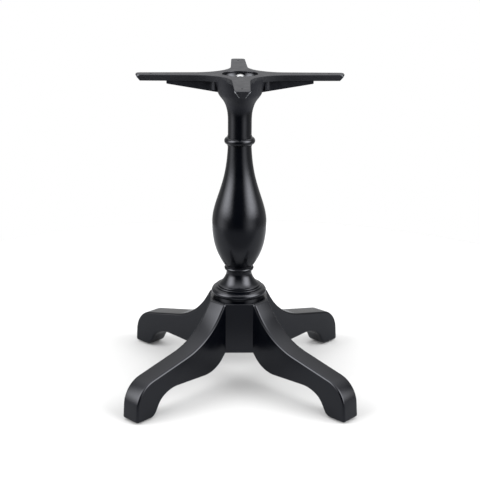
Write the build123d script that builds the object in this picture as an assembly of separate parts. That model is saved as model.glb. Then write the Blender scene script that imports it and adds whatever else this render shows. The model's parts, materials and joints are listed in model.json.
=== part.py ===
from build123d import *
import math
import os

# Table base: four sawn legs on a hub block, a turned column and a cast top spider.
# Millimetres, z up, origin on the floor under the column's axis, front towards -y.

# Fits, as radial play
WOOD_FIT = 0.2
FREE_FIT = 1.0
THREAD_FIT = 0.05

# Glides under the legs
GLIDE_R = 15.0
GLIDE_THICKNESS = 3.0
GLIDE_EDGE = 0.8
GLIDE_FROM_TOE = 24.0
GLIDE_SCREW_R = 1.9
GLIDE_SCREW_DEPTH = 18.0
GLIDE_HEAD_R = 3.8
GLIDE_HEAD_HEIGHT = 1.9
GLIDE_HEAD_SUNK = 0.5

# Hub block: an octagon with its narrow sides as wide as a leg
HUB_APOTHEM = 65.0
HUB_CLEARANCE = 84.0
HUB_HEIGHT = 119.0
HUB_TOP_ROUND = 3.0
HUB_BOTTOM_ROUND = 2.0
HUB_WALL = 33.0
HUB_ROOF = 36.0
HUB_CAVITY_CORNER = 10.0

# Legs: distances out from the hub's face or in from the toe, heights above the sole
LEG_WIDTH = 48.0
LEG_LENGTH = 272.1
LEG_ROUND_OVER = 5.0
LEG_SHOULDER = 4.1
LEG_SHOULDER_R = 7.0
LEG_BELOW_HUB = 2.6
SWEEP_OUT = 55.6
SWEEP_HEIGHT = 125.7
SWEEP_R = 170.0
KNUCKLE_IN = 6.0
KNUCKLE_HEIGHT = 77.4
KNUCKLE_R = 60.0
TOE_R = 6.0
SOLE_LENGTH = 52.1
SOLE_R = 20.0
HEEL_IN = 72.9
HEEL_HEIGHT = 36.4
HEEL_R = 50.0
ARCH_IN = 104.1
ARCH_HEIGHT = 52.0
ARCH_R = 80.0
THROAT_OUT = 30.3
THROAT_HEIGHT = 46.2
THROAT_R = 72.0

# Hanger bolts that hold the legs, two to a leg
BOLT_R = 4.0
BOLT_IN_LEG = 36.0
BOLT_PAST_NUT = 2.0
BOLT_FIRST_HEIGHT = 16.0
BOLT_SPACING = 34.0
BOLT_WASHER_R = 8.0
BOLT_WASHER_THICKNESS = 1.6
BOLT_NUT_FLATS = 13.0
BOLT_NUT_THICKNESS = 6.5

# Column: radii of the turning, and heights of its mouldings
COLUMN_LENGTH = 412.0
SPIGOT_R = 20.0
SPIGOT_LENGTH = 20.0
TENON_R = 16.8
TENON_LENGTH = 60.0
TENON_END_GAP = 2.0
PLINTH_R = 55.0
PLINTH_HEIGHT = 7.5
DISC_R = 63.2
DISC_HEIGHT = 13.2
DISC_BELLY = 2.6
DISC_ROUND_IN = 2.0
DISC_STEP = 2.7
LOWER_RING_R = 53.5
UPPER_RING_R = 48.5
RING_HEIGHT = 3.0
RING_PROUD = 1.5
COVE_FOOT_R = 46.0
COVE_HEIGHT = 27.6
COVE_PULL_IN = 7.0
COVE_PULL_DOWN = 8.0
COVE_FOOT_SLOPE = 0.5
WAIST_R = 29.0
WAIST_HEIGHT = 6.75
LOWER_BEAD_R = 33.9
LOWER_BEAD_HEIGHT = 8.0
BULB_FOOT_R = 30.6
BULB_FOOT_HEIGHT = 73.4
BULB_R = 61.7
BULB_HEIGHT = 170.0
NECK_R = 26.5
UPPER_BEAD_R = 34.5
UPPER_BEAD_HEIGHT = 16.0
UPPER_BEAD_BELOW_TOP = 46.9
QUIRK_R = 27.6
QUIRK_HEIGHT = 3.0

# Top spider: an iron casting with a bowl, a flared neck and four ribbed arms
SPIDER_HEIGHT = 102.0
ARM_REACH = 228.0
ARM_TIP_WIDTH = 32.0
ARM_ROOT_WIDTH = 39.0
ARM_ROOT_OUT = 85.0
ARM_DEPTH = 14.8
ARM_SIDE_SLOPE = 35.0
ARM_TIP_CORNER = 9.0
ARM_WEB_R = 84.0
ARM_EDGE = 0.8
RIB_WIDTH = 12.0
RIB_REACH = 161.0
RIB_STEP = 6.5
RIB_FOOT_DROP = 40.0
RIB_STEP_ROUND = 2.0
SKIRT_TOP_R = 60.2
SKIRT_MIDDLE_R = 57.0
SKIRT_MIDDLE_DROP = 15.0
SKIRT_FOOT_R = 49.0
BOWL_R = 39.5
BOWL_DEPTH = 20.0
BOWL_EDGE_ROUND = 1.5
BOWL_FLOOR_ROUND = 18.0
TOP_HOLE_R = 2.75
TOP_HOLE_OUT = 195.0

# Tie rod through the column, with its nuts and washers
ROD_R = 6.0
ROD_IN_DOME = 11.0
ROD_PAST_NUT = 4.0
ROD_WASHER_R = 18.5
ROD_WASHER_THICKNESS = 3.0
ROD_NUT_FLATS = 19.0
ROD_NUT_THICKNESS = 10.0
DOME_NUT_HEX = 11.5
DOME_NUT_HEIGHT = 16.0
DOME_FLAT_R = 1.25

# Shapes of the bulb and the flare: shares of each curve's own height and swell
BULB_RISE = ((0.03, 0.095), (0.105, 0.248), (0.356, 0.638), (0.605, 0.866))
BULB_FALL = ((0.116, 0.975), (0.373, 0.625), (0.626, 0.24), (0.877, 0.04))
FLARE_CURVE = ((0.26, 0.05), (0.476, 0.18), (0.694, 0.458), (0.903, 0.889))

# Places a bar or cone with its foot on the plane z = 0
ON_FOOT = (Align.CENTER, Align.CENTER, Align.MIN)

# Worked out from the sizes above
LEG_NAMES = ("back_right", "back_left", "front_left", "front_right")
LEG_ANGLES = (45.0, 135.0, 225.0, 315.0)
ARM_ANGLES = (0.0, 90.0, 180.0, 270.0)
SEAM_OUT = math.sqrt(2) * HUB_APOTHEM - LEG_WIDTH / 2
SOLE_Z = GLIDE_THICKNESS
HUB_BOTTOM_Z = SOLE_Z + HUB_CLEARANCE
HUB_TOP_Z = HUB_BOTTOM_Z + HUB_HEIGHT
CAVITY_TOP_Z = HUB_TOP_Z - HUB_ROOF
CAVITY_FACE_OUT = SEAM_OUT - HUB_WALL
BOLT_HEIGHTS = (HUB_BOTTOM_Z + BOLT_FIRST_HEIGHT, HUB_BOTTOM_Z + BOLT_FIRST_HEIGHT + BOLT_SPACING)
BOLT_TIP_OUT = SEAM_OUT + BOLT_IN_LEG
BOLT_WASHER_OUT = CAVITY_FACE_OUT - BOLT_WASHER_THICKNESS
BOLT_NUT_OUT = BOLT_WASHER_OUT - BOLT_NUT_THICKNESS
BOLT_END_OUT = BOLT_NUT_OUT - BOLT_PAST_NUT
GLIDE_OUT = SEAM_OUT + LEG_LENGTH - GLIDE_FROM_TOE
COLUMN_TOP_Z = HUB_TOP_Z + COLUMN_LENGTH
TOP_Z = COLUMN_TOP_Z + SPIDER_HEIGHT
BOWL_FLOOR_Z = TOP_Z - BOWL_DEPTH
DOME_NUT_Z = BOWL_FLOOR_Z + ROD_WASHER_THICKNESS
BOTTOM_WASHER_Z = CAVITY_TOP_Z - ROD_WASHER_THICKNESS
BOTTOM_NUT_Z = BOTTOM_WASHER_Z - ROD_NUT_THICKNESS
ROD_BORE_R = ROD_R + FREE_FIT


def fitted_radii(points, radii):
    """Give each inner corner its radius, cut back where a run is too short for it."""
    tangents = []
    for before, corner, after, radius in zip(points, points[1:], points[2:], radii):
        turn_in = math.atan2(corner[1] - before[1], corner[0] - before[0])
        turn_out = math.atan2(after[1] - corner[1], after[0] - corner[0])
        turn = abs((turn_out - turn_in + math.pi) % (2 * math.pi) - math.pi)
        tangents.append((radius, radius * math.tan(turn / 2)))
    reach = [0.0] + [tangent for _, tangent in tangents] + [0.0]
    runs = [math.dist(a, b) for a, b in zip(points, points[1:])]
    shares = [min(1.0, 0.98 * run / (a + b)) for run, a, b in zip(runs, reach, reach[1:])]
    return [radius * min(a, b) for (radius, _), a, b in zip(tangents, shares, shares[1:])]


def along(angle, out, z=0.0):
    """The place at a distance out from the axis, turned so that its x points outwards."""
    return Rot(0, 0, angle) * Pos(out, 0, z)


def drill(radius, start, end):
    """A round bar along x between two distances from the axis."""
    return Pos(start, 0, 0) * Rot(0, 90, 0) * Cylinder(radius, end - start, align=ON_FOOT)


def post(radius, bottom, top):
    """A round bar along z between two heights."""
    return Pos(0, 0, bottom) * Cylinder(radius, top - bottom, align=ON_FOOT)


def hexagon(flats, height):
    """A plain hexagonal bar standing on the plane z = 0."""
    return extrude(RegularPolygon(flats / 2, 6, major_radius=False), height)


def leg_outline():
    """The sawn outline of a leg, x out from the hub's face and y up from the floor."""
    seam_foot = HUB_BOTTOM_Z - LEG_BELOW_HUB
    corners = [
        (0, HUB_TOP_Z),
        (LEG_SHOULDER, HUB_TOP_Z),
        (SWEEP_OUT, SOLE_Z + SWEEP_HEIGHT),
        (LEG_LENGTH - KNUCKLE_IN, SOLE_Z + KNUCKLE_HEIGHT),
        (LEG_LENGTH, SOLE_Z),
        (LEG_LENGTH - SOLE_LENGTH, SOLE_Z),
        (LEG_LENGTH - HEEL_IN, SOLE_Z + HEEL_HEIGHT),
        (LEG_LENGTH - ARCH_IN, SOLE_Z + ARCH_HEIGHT),
        (THROAT_OUT, SOLE_Z + THROAT_HEIGHT),
        (0, seam_foot),
    ]
    toe_r = max(TOE_R, 1.2 * LEG_ROUND_OVER)
    radii = [LEG_SHOULDER_R, SWEEP_R, KNUCKLE_R, toe_r, SOLE_R, HEEL_R, ARCH_R, THROAT_R]
    sawn = FilletPolyline(*corners, radius=fitted_radii(corners, radii))
    return make_face(sawn + Line(corners[-1], corners[0]))


def leg():
    """One leg in its own frame: sawn from a board, with all its long edges rounded over."""
    board = extrude(Plane.XZ * leg_outline(), LEG_WIDTH / 2, both=True)
    sides = board.faces().filter_by(Axis.Y)
    long_edges = [edge for side in sides for edge in side.edges() if edge.bounding_box().max.X > 0.01]
    board = fillet(long_edges, LEG_ROUND_OVER)
    for height in BOLT_HEIGHTS:
        board -= Pos(0, 0, height) * drill(BOLT_R + THREAD_FIT, 0, BOLT_IN_LEG)
    pilot = post(GLIDE_SCREW_R + THREAD_FIT, SOLE_Z, SOLE_Z + GLIDE_SCREW_DEPTH)
    return board - Pos(LEG_LENGTH - GLIDE_FROM_TOE, 0, 0) * pilot


def hub_block():
    """The octagonal block, with a cavity open at the bottom for the nuts."""
    square = Rectangle(2 * HUB_APOTHEM, 2 * HUB_APOTHEM)
    diamond = Rectangle(2 * SEAM_OUT, 2 * SEAM_OUT, rotation=45)
    block = Pos(0, 0, HUB_BOTTOM_Z) * extrude(square & diamond, HUB_HEIGHT)
    block = fillet(block.faces().sort_by(Axis.Z)[-1].edges(), HUB_TOP_ROUND)
    block = fillet(block.faces().sort_by(Axis.Z)[0].edges(), HUB_BOTTOM_ROUND)
    mouth = RectangleRounded(2 * CAVITY_FACE_OUT, 2 * CAVITY_FACE_OUT, HUB_CAVITY_CORNER, rotation=45)
    block -= Pos(0, 0, HUB_BOTTOM_Z) * extrude(mouth, CAVITY_TOP_Z - HUB_BOTTOM_Z)
    block -= post(SPIGOT_R + WOOD_FIT, HUB_TOP_Z - SPIGOT_LENGTH - TENON_END_GAP, HUB_TOP_Z)
    block -= post(ROD_BORE_R, HUB_BOTTOM_Z, HUB_TOP_Z)
    for angle in LEG_ANGLES:
        for height in BOLT_HEIGHTS:
            block -= along(angle, 0, height) * drill(BOLT_R + WOOD_FIT, CAVITY_FACE_OUT, SEAM_OUT)
    return block


def swell_points(shares, narrow, wide):
    """Points between a narrow and a wide (radius, height) end, from shares of the height and of the swell."""
    low, high = sorted((narrow[1], wide[1]))
    return [(narrow[0] + (wide[0] - narrow[0]) * out, low + (high - low) * up) for up, out in shares]


def bead(radius, height, foot, head_r):
    """A half-round moulding from a foot point up to a head radius."""
    return ThreePointArc(foot, (radius, foot[1] + height / 2), (head_r, foot[1] + height))


def collar_edges():
    """The plinth, disc, two fine rings and cove at the column's foot, heights above the hub."""
    disc_foot = PLINTH_HEIGHT
    disc_top = disc_foot + DISC_HEIGHT
    disc_edge = DISC_R - DISC_BELLY
    ring_root = LOWER_RING_R - RING_PROUD
    upper_root = UPPER_RING_R - RING_PROUD
    lower_foot = disc_top + DISC_STEP
    upper_foot = lower_foot + RING_HEIGHT
    cove_foot = upper_foot + RING_HEIGHT
    cove_top = cove_foot + COVE_HEIGHT
    foot_pull = (COVE_FOOT_R - COVE_PULL_IN, cove_foot + COVE_PULL_IN * COVE_FOOT_SLOPE)
    round_from = disc_top - DISC_ROUND_IN
    round_in = disc_edge - DISC_ROUND_IN
    disc_middle = (disc_foot + round_from) / 2
    bend = DISC_ROUND_IN * (1 - math.sqrt(0.5))
    cove_pull = (WAIST_R, cove_top - COVE_PULL_DOWN)
    return [
        Polyline((PLINTH_R, 0), (PLINTH_R, disc_foot), (disc_edge, disc_foot)),
        ThreePointArc((disc_edge, disc_foot), (DISC_R, disc_middle), (disc_edge, round_from)),
        ThreePointArc((disc_edge, round_from), (disc_edge - bend, disc_top - bend), (round_in, disc_top)),
        Line((round_in, disc_top), (ring_root, lower_foot)),
        bead(LOWER_RING_R, RING_HEIGHT, (ring_root, lower_foot), ring_root),
        Line((ring_root, upper_foot), (upper_root, upper_foot)),
        bead(UPPER_RING_R, RING_HEIGHT, (upper_root, upper_foot), upper_root),
        Line((upper_root, cove_foot), (COVE_FOOT_R, cove_foot)),
        Bezier((COVE_FOOT_R, cove_foot), foot_pull, cove_pull, (WAIST_R, cove_top)),
        Line((WAIST_R, cove_top), (WAIST_R, cove_top + WAIST_HEIGHT)),
    ]


def column():
    """The turned baluster, with a spigot below, a tenon above and a bore for the tie rod."""
    collar = collar_edges()
    waist_top = collar[-1] @ 1
    bulb_foot = (BULB_FOOT_R, BULB_FOOT_HEIGHT)
    belly = (BULB_R, BULB_HEIGHT)
    bead_foot = COLUMN_LENGTH - UPPER_BEAD_BELOW_TOP - UPPER_BEAD_HEIGHT / 2
    bead_head = bead_foot + UPPER_BEAD_HEIGHT
    quirk_foot = bead_foot - QUIRK_HEIGHT
    quirk_head = bead_head + QUIRK_HEIGHT
    bulb_head = (NECK_R, quirk_foot)
    rise = swell_points(BULB_RISE, bulb_foot, belly)
    fall = swell_points(BULB_FALL, bulb_head, belly)
    profile = [
        *collar,
        bead(LOWER_BEAD_R, LOWER_BEAD_HEIGHT, (waist_top.X, waist_top.Y), BULB_FOOT_R),
        Line((BULB_FOOT_R, waist_top.Y + LOWER_BEAD_HEIGHT), bulb_foot),
        Spline(bulb_foot, *rise, belly, *fall, bulb_head),
        Polyline(bulb_head, (QUIRK_R, quirk_foot), (QUIRK_R, bead_foot), (NECK_R, bead_foot)),
        bead(UPPER_BEAD_R, UPPER_BEAD_HEIGHT, (NECK_R, bead_foot), NECK_R),
        Polyline((NECK_R, bead_head), (QUIRK_R, bead_head), (QUIRK_R, quirk_head), (NECK_R, quirk_head)),
        Polyline(
            (NECK_R, quirk_head), (NECK_R, COLUMN_LENGTH), (TENON_R, COLUMN_LENGTH),
            (TENON_R, COLUMN_LENGTH + TENON_LENGTH), (ROD_BORE_R, COLUMN_LENGTH + TENON_LENGTH),
            (ROD_BORE_R, -SPIGOT_LENGTH), (SPIGOT_R, -SPIGOT_LENGTH), (SPIGOT_R, 0), (PLINTH_R, 0),
        ),
    ]
    turned = revolve(Plane.XZ * make_face(Curve() + profile), Axis.Z)
    return Pos(0, 0, HUB_TOP_Z) * turned


def arms_outline():
    """The plan of the four tapered arms, with wide curves in the angles between them."""
    side_slope = (ARM_ROOT_WIDTH - ARM_TIP_WIDTH) / 2 / (ARM_REACH - ARM_ROOT_OUT)
    tip_half = ARM_TIP_WIDTH / 2
    inner = (tip_half + side_slope * ARM_REACH) / (1 + side_slope)
    arm = [(inner, -inner), (ARM_REACH, -tip_half), (ARM_REACH, tip_half)]
    corners = []
    for angle in ARM_ANGLES:
        turn = math.radians(angle)
        corners += [
            (x * math.cos(turn) - y * math.sin(turn), x * math.sin(turn) + y * math.cos(turn)) for x, y in arm
        ]
    plan = make_face(Polyline(*corners, close=True))
    angles = [point for point in plan.vertices() if math.hypot(point.X, point.Y) < ARM_REACH / 2]
    return fillet(angles, min(ARM_WEB_R, 0.85 * (ARM_REACH - inner)))


def arms():
    """The arms: an eased top edge, bevelled sides that run to a narrow underside, round tip corners."""
    outline = arms_outline()
    depth = ARM_DEPTH - ARM_EDGE
    tips = [point for point in outline.vertices() if math.hypot(point.X, point.Y) > ARM_REACH]
    rounded = fillet(tips, min(ARM_TIP_CORNER, 0.45 * ARM_TIP_WIDTH))
    bevelled = extrude(outline, -depth, taper=ARM_SIDE_SLOPE) & extrude(rounded, -depth)
    eased = extrude(rounded, ARM_EDGE, taper=45)
    return Pos(0, 0, TOP_Z - ARM_EDGE) * (bevelled + eased)


def rib():
    """The rib under the arm that points along x: a step near the tip, then a slope into the skirt."""
    arm_middle = TOP_Z - ARM_DEPTH / 2
    step_z = TOP_Z - ARM_DEPTH - RIB_STEP
    foot_z = TOP_Z - RIB_FOOT_DROP
    slope = (step_z - foot_z) / (RIB_REACH - SKIRT_FOOT_R)
    inner_z = foot_z - slope * (SKIRT_FOOT_R - BOWL_R)
    side = Polyline(
        (BOWL_R, arm_middle), (RIB_REACH, arm_middle), (RIB_REACH, step_z), (BOWL_R, inner_z), close=True
    )
    solid = extrude(Plane.XZ * make_face(side), RIB_WIDTH / 2, both=True)
    step = [edge for edge in solid.edges().filter_by(Axis.Y) if abs(edge.center().Z - step_z) < 0.01]
    return fillet(step, RIB_STEP_ROUND)


def flared_neck():
    """The round middle of the casting: skirt, flare and neck, still without its bowl."""
    skirt_foot_z = SPIDER_HEIGHT - RIB_FOOT_DROP
    neck_foot = (NECK_R, 0)
    skirt_foot = (SKIRT_FOOT_R, skirt_foot_z)
    profile = [
        Spline(neck_foot, *swell_points(FLARE_CURVE, neck_foot, skirt_foot), skirt_foot),
        Polyline(
            skirt_foot, (SKIRT_MIDDLE_R, SPIDER_HEIGHT - SKIRT_MIDDLE_DROP),
            (SKIRT_TOP_R, SPIDER_HEIGHT), (0, SPIDER_HEIGHT), (0, 0), neck_foot,
        ),
    ]
    return Pos(0, 0, COLUMN_TOP_Z) * revolve(Plane.XZ * make_face(Curve() + profile), Axis.Z)


def bowl():
    """The space of the bowl in the spider's top, with a rounded floor and an eased rim."""
    rim_r = BOWL_R + BOWL_EDGE_ROUND
    rim_bend = BOWL_EDGE_ROUND * (1 - math.sqrt(0.5))
    floor_bend = BOWL_FLOOR_ROUND * (1 - math.sqrt(0.5))
    wall_foot = BOWL_FLOOR_ROUND - BOWL_DEPTH
    profile = [
        Polyline((0, 0), (0, -BOWL_DEPTH), (BOWL_R - BOWL_FLOOR_ROUND, -BOWL_DEPTH)),
        ThreePointArc(
            (BOWL_R - BOWL_FLOOR_ROUND, -BOWL_DEPTH),
            (BOWL_R - floor_bend, floor_bend - BOWL_DEPTH),
            (BOWL_R, wall_foot),
        ),
        Line((BOWL_R, wall_foot), (BOWL_R, -BOWL_EDGE_ROUND)),
        ThreePointArc((BOWL_R, -BOWL_EDGE_ROUND), (BOWL_R + rim_bend, -rim_bend), (rim_r, 0)),
        Line((rim_r, 0), (0, 0)),
    ]
    return Pos(0, 0, TOP_Z) * revolve(Plane.XZ * make_face(Curve() + profile), Axis.Z)


def top_spider():
    """The whole casting, with its socket for the tenon, the rod's bore and the fixing holes."""
    casting = flared_neck() + arms()
    for angle in ARM_ANGLES:
        casting += Rot(0, 0, angle) * rib()
    casting -= bowl()
    casting -= post(TENON_R + WOOD_FIT, COLUMN_TOP_Z, COLUMN_TOP_Z + TENON_LENGTH + TENON_END_GAP)
    casting -= post(ROD_BORE_R, COLUMN_TOP_Z, TOP_Z)
    for angle in ARM_ANGLES:
        casting -= along(angle, TOP_HOLE_OUT) * post(TOP_HOLE_R, TOP_Z - SPIDER_HEIGHT, TOP_Z)
    return casting


def washer(radius, thickness, hole_r):
    """A flat washer standing on the plane z = 0."""
    return post(radius, 0, thickness) - post(hole_r, 0, thickness)


def nut(flats, thickness, hole_r):
    """A hexagonal nut standing on the plane z = 0."""
    return hexagon(flats, thickness) - post(hole_r, 0, thickness)


def dome_nut():
    """The low cap nut in the bowl: a hexagon with a shallow dome that has a small flat on top."""
    corner = ROD_NUT_FLATS / math.sqrt(3)
    outside = corner + FREE_FIT
    rise = DOME_NUT_HEIGHT - DOME_NUT_HEX
    dome_r = (corner ** 2 + rise ** 2) / (2 * rise)
    centre = DOME_NUT_HEIGHT - dome_r
    halfway = (corner + DOME_FLAT_R) / 2
    halfway_height = centre + math.sqrt(dome_r ** 2 - halfway ** 2)
    top = centre + math.sqrt(dome_r ** 2 - DOME_FLAT_R ** 2)
    profile = [
        Polyline((0, top), (0, 0), (outside, 0), (outside, DOME_NUT_HEX), (corner, DOME_NUT_HEX)),
        ThreePointArc((corner, DOME_NUT_HEX), (halfway, halfway_height), (DOME_FLAT_R, top)),
        Line((DOME_FLAT_R, top), (0, top)),
    ]
    turned = revolve(Plane.XZ * make_face(Curve() + profile), Axis.Z)
    solid = hexagon(ROD_NUT_FLATS, DOME_NUT_HEIGHT) & turned
    solid -= post(ROD_R + THREAD_FIT, 0, ROD_IN_DOME + THREAD_FIT)
    return Pos(0, 0, DOME_NUT_Z) * solid


def across(shape):
    """A shape that stands on z = 0, laid so that its axis runs outwards along x."""
    return Rot(0, 90, 0) * shape


def glide():
    """A round plastic glide with a countersunk hole and an eased lower edge."""
    disc = post(GLIDE_R, 0, GLIDE_THICKNESS)
    disc = chamfer(disc.edges().sort_by(Axis.Z)[0], GLIDE_EDGE)
    disc -= post(GLIDE_HEAD_R + WOOD_FIT, 0, GLIDE_HEAD_SUNK)
    disc -= Pos(0, 0, GLIDE_HEAD_SUNK) * screw_head(WOOD_FIT)
    return disc - post(GLIDE_SCREW_R + WOOD_FIT, 0, GLIDE_THICKNESS)


def screw_head(play):
    """The cone of a countersunk head, wide end down on the plane z = 0."""
    return Cone(GLIDE_HEAD_R + play, GLIDE_SCREW_R + play, GLIDE_HEAD_HEIGHT, align=ON_FOOT)


def glide_screw():
    """The countersunk screw that goes up through a glide into its leg."""
    shank = post(GLIDE_SCREW_R, GLIDE_HEAD_SUNK, SOLE_Z + GLIDE_SCREW_DEPTH)
    return Pos(0, 0, GLIDE_HEAD_SUNK) * screw_head(0) + shank


def at_bolts(shape, out):
    """Copies of a shape at each leg bolt, its foot at a distance out from the axis."""
    return [along(angle, out, height) * shape for angle in LEG_ANGLES for height in BOLT_HEIGHTS]


def nodes():
    """Every node's name and its solid or group of solids."""
    base = {
        "top_spider": top_spider(),
        "column": column(),
        "hub_block": hub_block(),
        "tie_rod": post(ROD_R, BOTTOM_NUT_Z - ROD_PAST_NUT, DOME_NUT_Z + ROD_IN_DOME),
        "top_dome_nut": dome_nut(),
        "top_washer": Pos(0, 0, BOWL_FLOOR_Z) * washer(ROD_WASHER_R, ROD_WASHER_THICKNESS, ROD_BORE_R),
        "bottom_washer": Pos(0, 0, BOTTOM_WASHER_Z) * washer(ROD_WASHER_R, ROD_WASHER_THICKNESS, ROD_BORE_R),
        "bottom_nut": Pos(0, 0, BOTTOM_NUT_Z) * nut(ROD_NUT_FLATS, ROD_NUT_THICKNESS, ROD_R + THREAD_FIT),
    }
    one_leg = leg()
    one_glide = glide()
    for name, angle in zip(LEG_NAMES, LEG_ANGLES):
        base["leg_" + name] = along(angle, SEAM_OUT) * one_leg
        base["glide_" + name] = along(angle, GLIDE_OUT) * one_glide
    bolt = drill(BOLT_R, 0, BOLT_TIP_OUT - BOLT_END_OUT)
    bolt_washer = across(washer(BOLT_WASHER_R, BOLT_WASHER_THICKNESS, BOLT_R + WOOD_FIT))
    bolt_nut = across(nut(BOLT_NUT_FLATS, BOLT_NUT_THICKNESS, BOLT_R + THREAD_FIT))
    screw = glide_screw()
    base["leg_bolts"] = Compound(children=at_bolts(bolt, BOLT_END_OUT))
    base["leg_bolt_washers"] = Compound(children=at_bolts(bolt_washer, BOLT_WASHER_OUT))
    base["leg_bolt_nuts"] = Compound(children=at_bolts(bolt_nut, BOLT_NUT_OUT))
    base["glide_screws"] = Compound(children=[along(angle, GLIDE_OUT) * screw for angle in LEG_ANGLES])
    return base


os.makedirs("parts", exist_ok=True)
for node, solid in nodes().items():
    export_step(solid, "parts/" + node + ".step")
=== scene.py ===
import json
import math

import bpy
from mathutils import Matrix, Vector


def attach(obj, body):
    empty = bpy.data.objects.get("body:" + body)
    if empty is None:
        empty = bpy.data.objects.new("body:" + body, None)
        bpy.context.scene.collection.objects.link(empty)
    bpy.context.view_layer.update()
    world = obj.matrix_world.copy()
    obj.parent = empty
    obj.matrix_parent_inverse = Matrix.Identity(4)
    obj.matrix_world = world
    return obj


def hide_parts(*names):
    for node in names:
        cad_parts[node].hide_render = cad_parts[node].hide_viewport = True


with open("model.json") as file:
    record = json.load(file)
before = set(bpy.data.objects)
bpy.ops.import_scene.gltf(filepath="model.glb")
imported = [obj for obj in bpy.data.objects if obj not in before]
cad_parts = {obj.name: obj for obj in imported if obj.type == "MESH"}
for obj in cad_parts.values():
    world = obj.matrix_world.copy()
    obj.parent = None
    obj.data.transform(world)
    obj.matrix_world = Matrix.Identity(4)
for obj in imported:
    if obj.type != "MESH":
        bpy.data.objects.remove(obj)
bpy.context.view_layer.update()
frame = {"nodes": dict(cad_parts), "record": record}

# The dressed table base. Metres, z up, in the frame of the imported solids, front towards -y.
MM = 0.001


def span(low, high):
    """Two angles that are given in degrees."""
    return (math.radians(low), math.radians(high))


# Camera, fitted to the photograph: 480 pixels square
CAMERA_PLACE = (-0.0571, -2.4406, 1.1039)
CAMERA_YAW = math.radians(1.386)
CAMERA_PITCH = math.radians(17.396)
CAMERA_ROLL = math.radians(0.345)
FOCAL_PIXELS = 1119.04
IMAGE_PIXELS = 480
SENSOR_MM = 36.0
CLIP_END = 100.0

# How a solid's copy is cleaned: its facets are welded, flat ones merged, and curved faces shaded smooth
WELD_MM = 0.002
FLAT_ANGLE = math.radians(0.3)
SMOOTH_ANGLE = math.radians(35.0)
ROUND_POINTS = 96

# The casting's sharp edges, as a mould and paint leave them
CAST_EDGE_MM = 1.1
CAST_EDGE_STEPS = 2
SHARP_ANGLE = math.radians(38.0)
EASED_SMOOTH_ANGLE = math.radians(50.0)

# Where the casting's skin is smooth and glossy: below the flare, and inside the bowl, whose darker black is
# also painted shade in the recess
SMOOTH_NECK_MM = 630.0
CAST_SKIN_MM = 655.0
BOWL_MM = 39.7
BOWL_FLOOR_MM = 699.5
SKIN_CHANGE_MM = 1.0

# What the paints share: a clear film over black, whose shine is a little cold
WET_BLACK = "#010205"
PAINT_SHINE = "#f4f6ff"
PAINT_IOR = 1.45
NYLON_IOR = 1.52

# The levels between which nearly all of a noise lies
NOISE_LOW = 0.3
NOISE_HIGH = 0.7

# The hollow corners between ribs and skirt
RIB_HALF_MM = 6.0
SKIRT_FOOT_MM = 50.3
SKIRT_TOP_MM = 57.0
FILLET_MM = 12.0
SUNK_MM = 1.5
FILLET_FROM_MM = 685.0
FILLET_TO_MM = 705.8
FILLET_SMOOTH_ANGLE = math.radians(30.0)

# The arms' tips, whose mitred edges carry a bright bare-iron line: partly rubbed wear, partly a painted
# highlight
ARM_REACH_MM = 228.0
ARM_TIP_HALF_MM = 16.0
ARM_SIDE_SLOPE = math.radians(35.0)
ARM_UNDERSIDE_MM = 705.2
ARM_EDGE_MM = 719.0
TIP_CORNER_MM = 9.0
RIDGE_MM = 0.5
RIDGE_POINTS = 24
RIDGE_ROUNDNESS = 2

# The studio: bearings from the camera's side, positive towards +x, and heights above the horizon
SOFT_BOXES = (
    {"bearing": span(41.0, 85.0), "height": span(8.0, 52.0), "light": 8.6},
    {"bearing": span(-92.0, -49.0), "height": span(8.0, 52.0), "light": 8.0},
    # The pools of light that the boxes throw on the studio's own floor, beyond the paper
    {"bearing": span(30.0, 62.0), "height": span(-24.0, 6.0), "light": 1.5},
    {"bearing": span(-96.0, -62.0), "height": span(-24.0, 6.0), "light": 1.5},
)
SOFT_ACROSS = math.radians(21.0)
SOFT_UPWARD = math.radians(12.0)
BACKDROP_BEARING = span(150.0, 172.0)
BACKDROP_HEIGHT = span(2.0, 36.0)
BACKDROP_LIGHT = 0.35
FRONT_BEARING = span(20.0, 100.0)
FRONT_LIGHT = 0.05
WALL_LIGHT = 0.35
CEILING_HEIGHT = span(25.0, 65.0)
CEILING_LIGHT = 2.0

# The paper: its tone to the camera, and the darker tones that it has in the lacquer's shine
FLOOR_RADIUS = 1.3
FLOOR_TONE = "#c2c2c2"
MIRRORED_TONE = "#98999b"
MIRRORED_FRONT_TONE = "#6e6f71"
MIRRORED_FRONT = (-0.45, -0.28)


def linear(hex_colour):
    """An sRGB hex colour as linear red, green, blue and alpha."""
    channels = [int(hex_colour[i:i + 2], 16) / 255 for i in (1, 3, 5)]
    turned = [c / 12.92 if c <= 0.04045 else ((c + 0.055) / 1.055) ** 2.4 for c in channels]
    return (*turned, 1.0)


def node(tree, kind, settings=None, links=None):
    """Adds a shader node with its settings, its sockets' values and its links, by name or by number."""
    made = tree.nodes.new(kind)
    for name, value in (settings or {}).items():
        if isinstance(name, str) and hasattr(made, name):
            setattr(made, name, value)
        else:
            made.inputs[name].default_value = value
    for name, source in (links or {}).items():
        tree.links.new(source, made.inputs[name])
    return made


def new_material(name):
    """An empty node material and its tree."""
    material = bpy.data.materials.new(name)
    material.use_nodes = True
    material.node_tree.nodes.clear()
    return material, material.node_tree


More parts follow.
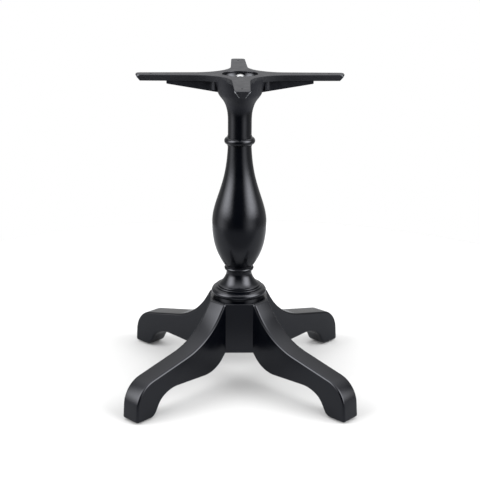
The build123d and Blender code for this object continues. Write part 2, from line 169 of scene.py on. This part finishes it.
def satin_lacquer_on_wood():
    """Black furniture lacquer, sprayed over filled grain and rubbed to a satin.

    It gives the eye a deep black with long soft highlights, which a faint orange peel and slow changes of
    gloss keep from looking like glass.
    """
    material, tree = new_material("satin_lacquer_on_wood")
    place = node(tree, "ShaderNodeTexCoord").outputs["Object"]
    peel_mm = 2.2
    cloud_mm = 38.0
    peel = node(tree, "ShaderNodeTexNoise", {"Scale": 1 / (peel_mm * MM), "Detail": 2.0}, {"Vector": place})
    cloud = node(
        tree, "ShaderNodeTexNoise", {"Scale": 1 / (cloud_mm * MM), "Detail": 3.0}, {"Vector": place},
    )
    gloss = node(
        tree, "ShaderNodeMapRange",
        {"From Min": NOISE_LOW, "From Max": NOISE_HIGH, "To Min": 0.15, "To Max": 0.22},
        {"Value": cloud.outputs["Fac"]},
    )
    bump = node(
        tree, "ShaderNodeBump", {"Strength": 0.12, "Distance": 0.03 * MM}, {"Height": peel.outputs["Fac"]},
    )
    shader = node(
        tree, "ShaderNodeBsdfPrincipled",
        {"Base Color": linear(WET_BLACK), "IOR": PAINT_IOR, "Specular Tint": linear(PAINT_SHINE)},
        {"Roughness": gloss.outputs["Result"], "Normal": bump.outputs["Normal"]},
    )
    node(tree, "ShaderNodeOutputMaterial", None, {"Surface": shader.outputs["BSDF"]})
    return material


def mask_rough_skin_and_bowl_shade(tree, place):
    """One where the casting has its rough skin, and zero on the neck and inside the bowl, whose darker black
    is partly painted shade in the recess.
    """
    height = node(tree, "ShaderNodeSeparateXYZ", None, {"Vector": place}).outputs["Z"]
    above_neck = node(
        tree, "ShaderNodeMapRange",
        {
            "interpolation_type": "SMOOTHSTEP",
            "From Min": SMOOTH_NECK_MM * MM, "From Max": CAST_SKIN_MM * MM,
        },
        {"Value": height},
    )
    flat = node(tree, "ShaderNodeVectorMath", {"operation": "MULTIPLY", 1: (1.0, 1.0, 0.0)}, {0: place})
    radius = node(tree, "ShaderNodeVectorMath", {"operation": "LENGTH"}, {0: flat.outputs["Vector"]})
    # The bowl's inside: the mask gives it the darker black, partly painted shade in the recess
    past_bowl = node(
        tree, "ShaderNodeMapRange",
        {"From Min": BOWL_MM * MM, "From Max": (BOWL_MM + SKIN_CHANGE_MM) * MM},
        {"Value": radius.outputs["Value"]},
    )
    under_bowl = node(
        tree, "ShaderNodeMapRange",
        {"From Min": BOWL_FLOOR_MM * MM, "From Max": (BOWL_FLOOR_MM - SKIN_CHANGE_MM) * MM},
        {"Value": height},
    )
    outside_bowl_shade = node(
        tree, "ShaderNodeMath", {"operation": "MAXIMUM"},
        {0: past_bowl.outputs["Result"], 1: under_bowl.outputs["Result"]},
    )
    rough_skin_not_bowl_shade = node(
        tree, "ShaderNodeMath", {"operation": "MULTIPLY"},
        {0: above_neck.outputs["Result"], 1: outside_bowl_shade.outputs["Value"]},
    )
    return rough_skin_not_bowl_shade.outputs["Value"]


def painted_cast_iron():
    """Black paint on iron from a sand mould, fettled by hand.

    It gives the eye a dull charcoal with a fine grain and a slow swell on arms, ribs and flare, and a
    smooth, glossier black on the neck, where the casting was turned, and in the bowl, whose deeper black is
    partly that turned skin and partly painted shade in the recess.
    """
    material, tree = new_material("painted_cast_iron")
    place = node(tree, "ShaderNodeTexCoord").outputs["Object"]
    rough_skin_not_bowl_shade = mask_rough_skin_and_bowl_shade(tree, place)
    # The sand leaves a grain of under half a millimetre, too fine to show, so it is drawn coarser
    grain_mm = 1.6
    swell_mm = 14.0
    grain = node(
        tree, "ShaderNodeTexNoise", {"Scale": 1 / (grain_mm * MM), "Detail": 4.0}, {"Vector": place},
    )
    swell = node(
        tree, "ShaderNodeTexNoise", {"Scale": 1 / (swell_mm * MM), "Detail": 2.0}, {"Vector": place},
    )
    dull = node(
        tree, "ShaderNodeMapRange",
        {"From Min": NOISE_LOW, "From Max": NOISE_HIGH, "To Min": 0.36, "To Max": 0.46},
        {"Value": swell.outputs["Fac"]},
    )
    rough = node(
        tree, "ShaderNodeMapRange", {"To Min": 0.19}, {"Value": rough_skin_not_bowl_shade, "To Max": dull.outputs["Result"]},
    )
    # Darker black on the neck and in the bowl: on the neck the glossy paint, in the bowl partly painted
    # shade in the recess
    tone = node(
        tree, "ShaderNodeMix",
        {"data_type": "RGBA", "A": linear(WET_BLACK), "B": linear("#111217")}, {"Factor": rough_skin_not_bowl_shade},
    )
    strength = node(tree, "ShaderNodeMapRange", {"To Min": 0.05, "To Max": 0.4}, {"Value": rough_skin_not_bowl_shade})
    wide = node(
        tree, "ShaderNodeBump", {"Distance": 0.25 * MM},
        {"Height": swell.outputs["Fac"], "Strength": strength.outputs["Result"]},
    )
    fine = node(
        tree, "ShaderNodeBump", {"Distance": 0.08 * MM},
        {
            "Height": grain.outputs["Fac"], "Strength": strength.outputs["Result"],
            "Normal": wide.outputs["Normal"],
        },
    )
    shader = node(
        tree, "ShaderNodeBsdfPrincipled", {"IOR": PAINT_IOR, "Specular Tint": linear(PAINT_SHINE)},
        {
            "Base Color": tone.outputs["Result"], "Roughness": rough.outputs["Result"],
            "Normal": fine.outputs["Normal"],
        },
    )
    node(tree, "ShaderNodeOutputMaterial", None, {"Surface": shader.outputs["BSDF"]})
    return material


def bare_edge_wear_and_highlight():
    """A grey, dull, slightly uneven iron line on a fettled edge: partly paint rubbed off to bare iron,
    partly a painted highlight.
    """
    material, tree = new_material("bare_edge_wear_and_highlight")
    place = node(tree, "ShaderNodeTexCoord").outputs["Object"]
    wear_mm = 2.5
    wear = node(tree, "ShaderNodeTexNoise", {"Scale": 1 / (wear_mm * MM), "Detail": 3.0}, {"Vector": place})
    tone = node(
        tree, "ShaderNodeMix",
        {"data_type": "RGBA", "A": linear("#6b6e72"), "B": linear("#c6c9cc")},
        {"Factor": wear.outputs["Fac"]},
    )
    shader = node(
        tree, "ShaderNodeBsdfPrincipled", {"Metallic": 1.0, "Roughness": 0.5},
        {"Base Color": tone.outputs["Result"]},
    )
    node(tree, "ShaderNodeOutputMaterial", None, {"Surface": shader.outputs["BSDF"]})
    return material


def zinc_plated_steel():
    """Bright zinc plating on turned steel: pale, softly shiny, with a faint mottle in tone and gloss."""
    material, tree = new_material("zinc_plated_steel")
    place = node(tree, "ShaderNodeTexCoord").outputs["Object"]
    mottle_mm = 3.0
    mottle = node(
        tree, "ShaderNodeTexNoise", {"Scale": 1 / (mottle_mm * MM), "Detail": 3.0}, {"Vector": place},
    )
    tint = node(
        tree, "ShaderNodeMix",
        {"data_type": "RGBA", "A": linear("#b4b6ba"), "B": linear("#d2d3d2")},
        {"Factor": mottle.outputs["Fac"]},
    )
    rough = node(
        tree, "ShaderNodeMapRange",
        {"From Min": NOISE_LOW, "From Max": NOISE_HIGH, "To Min": 0.22, "To Max": 0.34},
        {"Value": mottle.outputs["Fac"]},
    )
    shader = node(
        tree, "ShaderNodeBsdfPrincipled", {"Metallic": 1.0},
        {"Base Color": tint.outputs["Result"], "Roughness": rough.outputs["Result"]},
    )
    node(tree, "ShaderNodeOutputMaterial", None, {"Surface": shader.outputs["BSDF"]})
    return material


def moulded_nylon():
    """Black nylon as moulded: a dull black skin with a faint stipple."""
    material, tree = new_material("moulded_nylon")
    place = node(tree, "ShaderNodeTexCoord").outputs["Object"]
    stipple_mm = 0.9
    stipple = node(
        tree, "ShaderNodeTexNoise", {"Scale": 1 / (stipple_mm * MM), "Detail": 2.0}, {"Vector": place},
    )
    bump = node(
        tree, "ShaderNodeBump", {"Strength": 0.2, "Distance": 0.05 * MM}, {"Height": stipple.outputs["Fac"]},
    )
    shader = node(
        tree, "ShaderNodeBsdfPrincipled",
        {"Base Color": linear("#18181a"), "Roughness": 0.55, "IOR": NYLON_IOR},
        {"Normal": bump.outputs["Normal"]},
    )
    node(tree, "ShaderNodeOutputMaterial", None, {"Surface": shader.outputs["BSDF"]})
    return material


LACQUER = satin_lacquer_on_wood()
IRON = painted_cast_iron()
EDGE_WEAR_AND_HIGHLIGHT = bare_edge_wear_and_highlight()
ZINC = zinc_plated_steel()
NYLON = moulded_nylon()
FINISHES = {
    "black_lacquered_wood": LACQUER,
    "black_cast_iron": IRON,
    "zinc_plated_steel": ZINC,
    "black_nylon": NYLON,
}


def select_only(piece):
    """Makes one object the only one selected, and the active one."""
    bpy.ops.object.select_all(action="DESELECT")
    piece.select_set(True)
    bpy.context.view_layer.objects.active = piece


def finish_solid(cad_name, slot):
    """A copy of a solid with its facets merged and its curved faces shaded smooth, standing for it."""
    piece = bpy.data.objects.new(cad_name + "_finished", frame["nodes"][cad_name].data.copy())
    bpy.context.scene.collection.objects.link(piece)
    select_only(piece)
    bpy.ops.mesh.customdata_custom_splitnormals_clear()
    bpy.ops.object.mode_set(mode="EDIT")
    bpy.ops.mesh.select_all(action="SELECT")
    bpy.ops.mesh.remove_doubles(threshold=WELD_MM * MM)
    bpy.ops.mesh.dissolve_limited(angle_limit=FLAT_ANGLE)
    bpy.ops.object.mode_set(mode="OBJECT")
    bpy.ops.object.shade_smooth_by_angle(angle=SMOOTH_ANGLE)
    piece.data.materials.clear()
    piece.data.materials.append(FINISHES[slot])
    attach(piece, "root")
    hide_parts(cad_name)
    return piece


def ease_edges(piece):
    """Rounds the sharp edges of the casting's copy a little, as paint and a mould leave them."""
    select_only(piece)
    bevel = piece.modifiers.new("eased_edges", "BEVEL")
    bevel.width = CAST_EDGE_MM * MM
    bevel.segments = CAST_EDGE_STEPS
    bevel.limit_method = "ANGLE"
    bevel.angle_limit = SHARP_ANGLE
    bevel.miter_outer = "MITER_ARC"
    bpy.ops.object.modifier_apply(modifier=bevel.name)
    bpy.ops.object.shade_smooth_by_angle(angle=EASED_SMOOTH_ANGLE)


finished = {
    entry["node"]: finish_solid(entry["node"], entry["material_slot"])
    for entry in frame["record"]["subparts"]
}
ease_edges(finished["top_spider"])


def hollow_corner():
    """One corner between a rib and the skirt: a block less a cylinder, leaned back with the skirt."""
    reach = SKIRT_FOOT_MM + FILLET_MM
    centre_x = RIB_HALF_MM + FILLET_MM
    centre_y = math.sqrt(reach ** 2 - centre_x ** 2)
    lean = math.sqrt((SKIRT_TOP_MM + FILLET_MM) ** 2 - centre_x ** 2) - centre_y
    touch_x = centre_x * SKIRT_FOOT_MM / reach
    inner_x = RIB_HALF_MM - SUNK_MM
    inner_y = SKIRT_FOOT_MM - 2 * SUNK_MM
    tall = FILLET_TO_MM - FILLET_FROM_MM
    middle = ((inner_x + touch_x) / 2, (inner_y + centre_y) / 2, (FILLET_FROM_MM + FILLET_TO_MM) / 2)
    size = (touch_x - inner_x, centre_y - inner_y, tall)
    bpy.ops.mesh.primitive_cube_add(size=MM, location=[v * MM for v in middle], scale=size)
    corner = bpy.context.active_object
    bpy.ops.object.transform_apply(location=True, rotation=True, scale=True)
    bpy.ops.mesh.primitive_cylinder_add(
        vertices=ROUND_POINTS, radius=FILLET_MM * MM, depth=2 * tall * MM,
        location=(centre_x * MM, centre_y * MM, middle[2] * MM),
    )
    cutter = bpy.context.active_object
    select_only(corner)
    cut = corner.modifiers.new("hollow", "BOOLEAN")
    cut.object = cutter
    bpy.ops.object.modifier_apply(modifier=cut.name)
    bpy.data.objects.remove(cutter)
    bpy.ops.object.mode_set(mode="EDIT")
    bpy.ops.mesh.select_mode(type="VERT")
    bpy.ops.object.mode_set(mode="OBJECT")
    for point in corner.data.vertices:
        point.select = point.co.z > middle[2] * MM
    bpy.ops.object.mode_set(mode="EDIT")
    bpy.ops.transform.translate(value=(0, lean * MM, 0))
    bpy.ops.object.mode_set(mode="OBJECT")
    return corner


def rib_root_fillets():
    """The casting's hollow corners where each rib runs into the skirt: eight alike, joined as one piece."""
    corner = hollow_corner()
    copies = []
    for quarter in range(4):
        for side in (1, -1):
            copy = bpy.data.objects.new("rib_root_fillets", corner.data.copy())
            bpy.context.scene.collection.objects.link(copy)
            copy.scale.x = side
            copy.rotation_euler.z = quarter * math.pi / 2
            copies.append(copy)
    bpy.data.objects.remove(corner)
    select_only(copies[0])
    for copy in copies:
        copy.select_set(True)
    bpy.ops.object.transform_apply(location=True, rotation=True, scale=True)
    bpy.ops.object.join()
    piece = bpy.context.active_object
    bpy.ops.object.mode_set(mode="EDIT")
    bpy.ops.mesh.select_all(action="SELECT")
    bpy.ops.mesh.normals_make_consistent(inside=False)
    bpy.ops.object.mode_set(mode="OBJECT")
    bpy.ops.object.shade_smooth_by_angle(angle=FILLET_SMOOTH_ANGLE)
    piece.data.materials.append(IRON)
    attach(piece, "root")


rib_root_fillets()


def tip_edge(lines, turn, side):
    """Adds the line of one mitred edge of one arm's tip, from the underside to the rim."""
    line = lines.splines.new("POLY")
    line.points.add(RIDGE_POINTS - 1)
    for step, point in enumerate(line.points):
        z = ARM_UNDERSIDE_MM + (ARM_EDGE_MM - ARM_UNDERSIDE_MM) * step / (RIDGE_POINTS - 1)
        inset = (ARM_EDGE_MM - z) * math.tan(ARM_SIDE_SLOPE)
        # Down the mitre of side and end, and above it round the tip's upright corner
        past_corner = max(0.0, TIP_CORNER_MM - inset)
        back = TIP_CORNER_MM - math.sqrt(TIP_CORNER_MM ** 2 - past_corner ** 2)
        reach = ARM_REACH_MM - max(inset, back)
        place = turn @ Vector((side * (ARM_TIP_HALF_MM - inset), -reach, z))
        point.co = (*(place * MM), 1.0)


def tip_edge_wear_and_highlights():
    """The low ridge where each arm's end meets its bevelled sides, in bare grey iron that is partly rubbed
    wear and partly a painted highlight: eight in one.
    """
    lines = bpy.data.curves.new("tip_edge_wear_and_highlights", "CURVE")
    lines.dimensions = "3D"
    lines.bevel_depth = RIDGE_MM * MM
    lines.bevel_resolution = RIDGE_ROUNDNESS
    lines.use_fill_caps = True
    for quarter in range(4):
        turn = Matrix.Rotation(quarter * math.pi / 2, 3, "Z")
        for side in (1, -1):
            tip_edge(lines, turn, side)
    piece = bpy.data.objects.new("tip_edge_wear_and_highlights", lines)
    bpy.context.scene.collection.objects.link(piece)
    select_only(piece)
    bpy.ops.object.convert(target="MESH")
    bpy.ops.object.mode_set(mode="EDIT")
    bpy.ops.mesh.select_all(action="SELECT")
    bpy.ops.mesh.remove_doubles(threshold=WELD_MM * MM)
    bpy.ops.mesh.normals_make_consistent(inside=False)
    bpy.ops.object.mode_set(mode="OBJECT")
    bpy.ops.object.shade_smooth_by_angle(angle=EASED_SMOOTH_ANGLE)
    piece.data.materials.clear()
    # A bright metal line along each edge: partly rubbed wear, partly a painted highlight
    piece.data.materials.append(EDGE_WEAR_AND_HIGHLIGHT)
    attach(piece, "root")


tip_edge_wear_and_highlights()


def studio():
    """A wide sheet of pale paper under the object, darker in the object's shine than to the camera."""
    bpy.ops.mesh.primitive_circle_add(vertices=ROUND_POINTS, radius=FLOOR_RADIUS, fill_type="NGON")
    floor = bpy.context.active_object
    floor.name = "floor"
    paper, tree = new_material("pale_paper_floor")
    seen = node(tree, "ShaderNodeLightPath")
    spot = node(tree, "ShaderNodeTexCoord").outputs["Object"]
    place = node(tree, "ShaderNodeSeparateXYZ", None, {"Vector": spot})
    backward = node(
        tree, "ShaderNodeMapRange", {"From Min": MIRRORED_FRONT[0], "From Max": MIRRORED_FRONT[1]},
        {"Value": place.outputs["Y"]},
    )
    tone = node(
        tree, "ShaderNodeMix",
        {"data_type": "RGBA", "A": linear(MIRRORED_FRONT_TONE), "B": linear(MIRRORED_TONE)},
        {"Factor": backward.outputs["Result"]},
    )
    mirrored = node(tree, "ShaderNodeBsdfDiffuse", None, {"Color": tone.outputs["Result"]})
    open_sheet = node(tree, "ShaderNodeBsdfDiffuse", {"Color": linear(FLOOR_TONE)})
    mixed = node(
        tree, "ShaderNodeMixShader", None,
        {"Fac": seen.outputs["Is Camera Ray"], 1: mirrored.outputs["BSDF"], 2: open_sheet.outputs["BSDF"]},
    )
    node(tree, "ShaderNodeOutputMaterial", None, {"Surface": mixed.outputs["Shader"]})
    floor.data.materials.append(paper)


def softly_between(tree, source, low, high, edge):
    """One between two values of a source and zero beyond them, with soft edges."""
    past_low = node(
        tree, "ShaderNodeMapRange",
        {"interpolation_type": "SMOOTHSTEP", "From Min": low - edge, "From Max": low + edge},
        {"Value": source},
    )
    before_high = node(
        tree, "ShaderNodeMapRange",
        {"interpolation_type": "SMOOTHSTEP", "From Min": high + edge, "From Max": high - edge},
        {"Value": source},
    )
    both = node(
        tree, "ShaderNodeMath", {"operation": "MULTIPLY"},
        {0: past_low.outputs["Result"], 1: before_high.outputs["Result"]},
    )
    return both.outputs["Value"]


def surround():
    """The studio about the object: a pale ceiling, dim walls, and a soft box before it on each side."""
    world = bpy.data.worlds.new("studio_surround")
    bpy.context.scene.world = world
    world.use_nodes = True
    tree = world.node_tree
    tree.nodes.clear()
    towards = node(tree, "ShaderNodeTexCoord").outputs["Generated"]
    way = node(tree, "ShaderNodeSeparateXYZ", None, {"Vector": towards})
    # Minus y, so that the bearing counts from the camera's side and its jump lies behind the object
    forward = node(tree, "ShaderNodeMath", {"operation": "MULTIPLY", 1: -1.0}, {0: way.outputs["Y"]})
    bearing = node(
        tree, "ShaderNodeMath", {"operation": "ARCTAN2"}, {0: way.outputs["X"], 1: forward.outputs["Value"]},
    ).outputs["Value"]
    height = node(tree, "ShaderNodeMath", {"operation": "ARCSINE"}, {0: way.outputs["Z"]}).outputs["Value"]
    aside = node(tree, "ShaderNodeMath", {"operation": "ABSOLUTE"}, {0: bearing}).outputs["Value"]
    walls = node(
        tree, "ShaderNodeMapRange",
        {
            "interpolation_type": "SMOOTHSTEP", "From Min": FRONT_BEARING[0], "From Max": FRONT_BEARING[1],
            "To Min": FRONT_LIGHT, "To Max": WALL_LIGHT,
        },
        {"Value": aside},
    )
    light = node(
        tree, "ShaderNodeMapRange",
        {
            "interpolation_type": "SMOOTHSTEP", "From Min": CEILING_HEIGHT[0], "From Max": CEILING_HEIGHT[1],
            "To Max": CEILING_LIGHT,
        },
        {"Value": height, "To Min": walls.outputs["Result"]},
    ).outputs["Result"]
    for box in SOFT_BOXES:
        across = softly_between(tree, bearing, *box["bearing"], SOFT_ACROSS)
        upward = softly_between(tree, height, *box["height"], SOFT_UPWARD)
        patch = node(tree, "ShaderNodeMath", {"operation": "MULTIPLY"}, {0: across, 1: upward})
        light = node(
            tree, "ShaderNodeMath", {"operation": "MULTIPLY_ADD", 1: box["light"]},
            {0: patch.outputs["Value"], 2: light},
        ).outputs["Value"]
    behind = node(
        tree, "ShaderNodeMapRange",
        {
            "interpolation_type": "SMOOTHSTEP",
            "From Min": BACKDROP_BEARING[0], "From Max": BACKDROP_BEARING[1], "To Max": BACKDROP_LIGHT,
        },
        {"Value": aside},
    )
    raised = softly_between(tree, height, *BACKDROP_HEIGHT, SOFT_UPWARD)
    light = node(
        tree, "ShaderNodeMath", {"operation": "MULTIPLY_ADD"},
        {0: behind.outputs["Result"], 1: raised, 2: light},
    ).outputs["Value"]
    lit = node(tree, "ShaderNodeBackground", {"Color": (1, 1, 1, 1)}, {"Strength": light})
    plain = node(tree, "ShaderNodeBackground", {"Color": (1, 1, 1, 1), "Strength": 1.0})
    seen = node(tree, "ShaderNodeLightPath")
    mixed = node(
        tree, "ShaderNodeMixShader", None,
        {"Fac": seen.outputs["Is Camera Ray"], 1: lit.outputs["Background"], 2: plain.outputs["Background"]},
    )
    node(tree, "ShaderNodeOutputWorld", None, {"Surface": mixed.outputs["Shader"]})


def camera():
    """The camera at the photograph's place, turned by its yaw, pitch and roll."""
    data = bpy.data.cameras.new("camera")
    data.sensor_width = SENSOR_MM
    data.lens = FOCAL_PIXELS * SENSOR_MM / IMAGE_PIXELS
    data.clip_end = CLIP_END
    holder = bpy.data.objects.new("camera", data)
    holder.location = CAMERA_PLACE
    forward = Vector((
        math.sin(CAMERA_YAW) * math.cos(CAMERA_PITCH),
        math.cos(CAMERA_YAW) * math.cos(CAMERA_PITCH),
        -math.sin(CAMERA_PITCH),
    ))
    level = Vector((math.cos(CAMERA_YAW), -math.sin(CAMERA_YAW), 0))
    upright = level.cross(forward)
    right = math.cos(CAMERA_ROLL) * level + math.sin(CAMERA_ROLL) * upright
    up = math.cos(CAMERA_ROLL) * upright - math.sin(CAMERA_ROLL) * level
    turn = holder.matrix_world.to_3x3()
    turn.col[0], turn.col[1], turn.col[2] = right, up, -forward
    holder.rotation_euler = turn.to_euler()
    bpy.context.scene.collection.objects.link(holder)
    bpy.context.scene.camera = holder


studio()
surround()
camera()
bpy.context.scene.view_settings.view_transform = "Standard"
